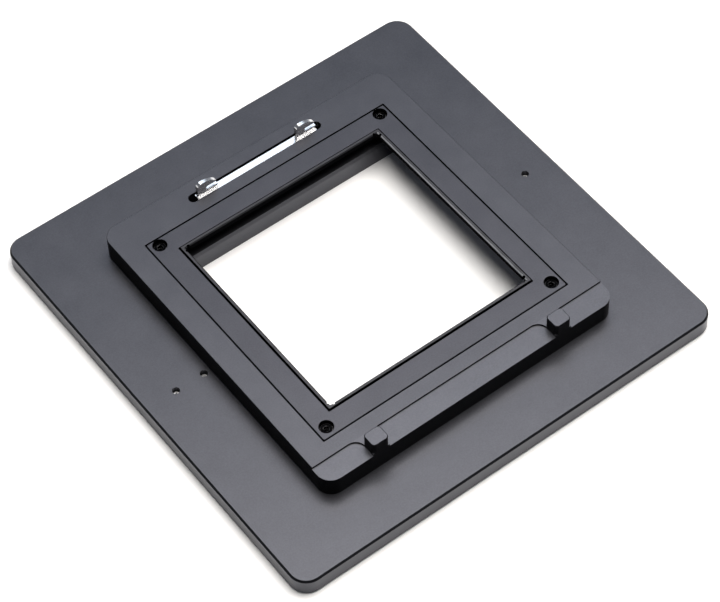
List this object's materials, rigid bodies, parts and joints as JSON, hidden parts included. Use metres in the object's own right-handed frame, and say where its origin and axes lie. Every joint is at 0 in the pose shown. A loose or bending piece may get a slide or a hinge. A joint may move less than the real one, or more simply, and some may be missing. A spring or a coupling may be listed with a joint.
{
  "type": "camera back adapter plate",
  "caption": "Square black anodised board with a raised magazine mounting plate, inset frame, thin light-trap rim round a square window, support lugs and steel hooks.",
  "frame": {"origin": "centre of the board's underside, where the adapter lies flat", "axes": "+Z out of the magazine side, +Y towards the steel hooks, -Y towards the support lugs, +X to the right seen from the magazine side with the hooks at the top"},
  "size_m": [0.1322, 0.1322, 0.0169],
  "materials": {
    "board_anodised": "fine bead-blasted black anodise, satin",
    "plate_anodised": "fine bead-blasted black anodise, satin",
    "frame_anodised": "fine bead-blasted black anodise, satin",
    "rim_black": "dull black anodise with worn bright top edges",
    "hook_steel": "ground and polished steel",
    "screw_black": "black oxide",
    "screw_steel": "bright zinc"
  },
  "bodies": {
    "root": {"base_plate": "board_anodised", "mount_plate": "plate_anodised", "light_trap_rim": "rim_black", "aperture_frame": "frame_anodised", "hook_plate": "hook_steel", "aperture_screw_1": "screw_black", "aperture_screw_2": "screw_black", "aperture_screw_3": "screw_black", "aperture_screw_4": "screw_black", "mount_screw_1": "screw_black", "mount_screw_2": "screw_black", "mount_screw_3": "screw_black", "mount_screw_4": "screw_black", "mount_screw_5": "screw_black", "mount_screw_6": "screw_black", "hook_screw_1": "screw_steel", "hook_screw_2": "screw_steel", "set_screw_1": "screw_steel", "set_screw_2": "screw_steel", "set_screw_3": "screw_steel"}
  },
  "joints": []
}
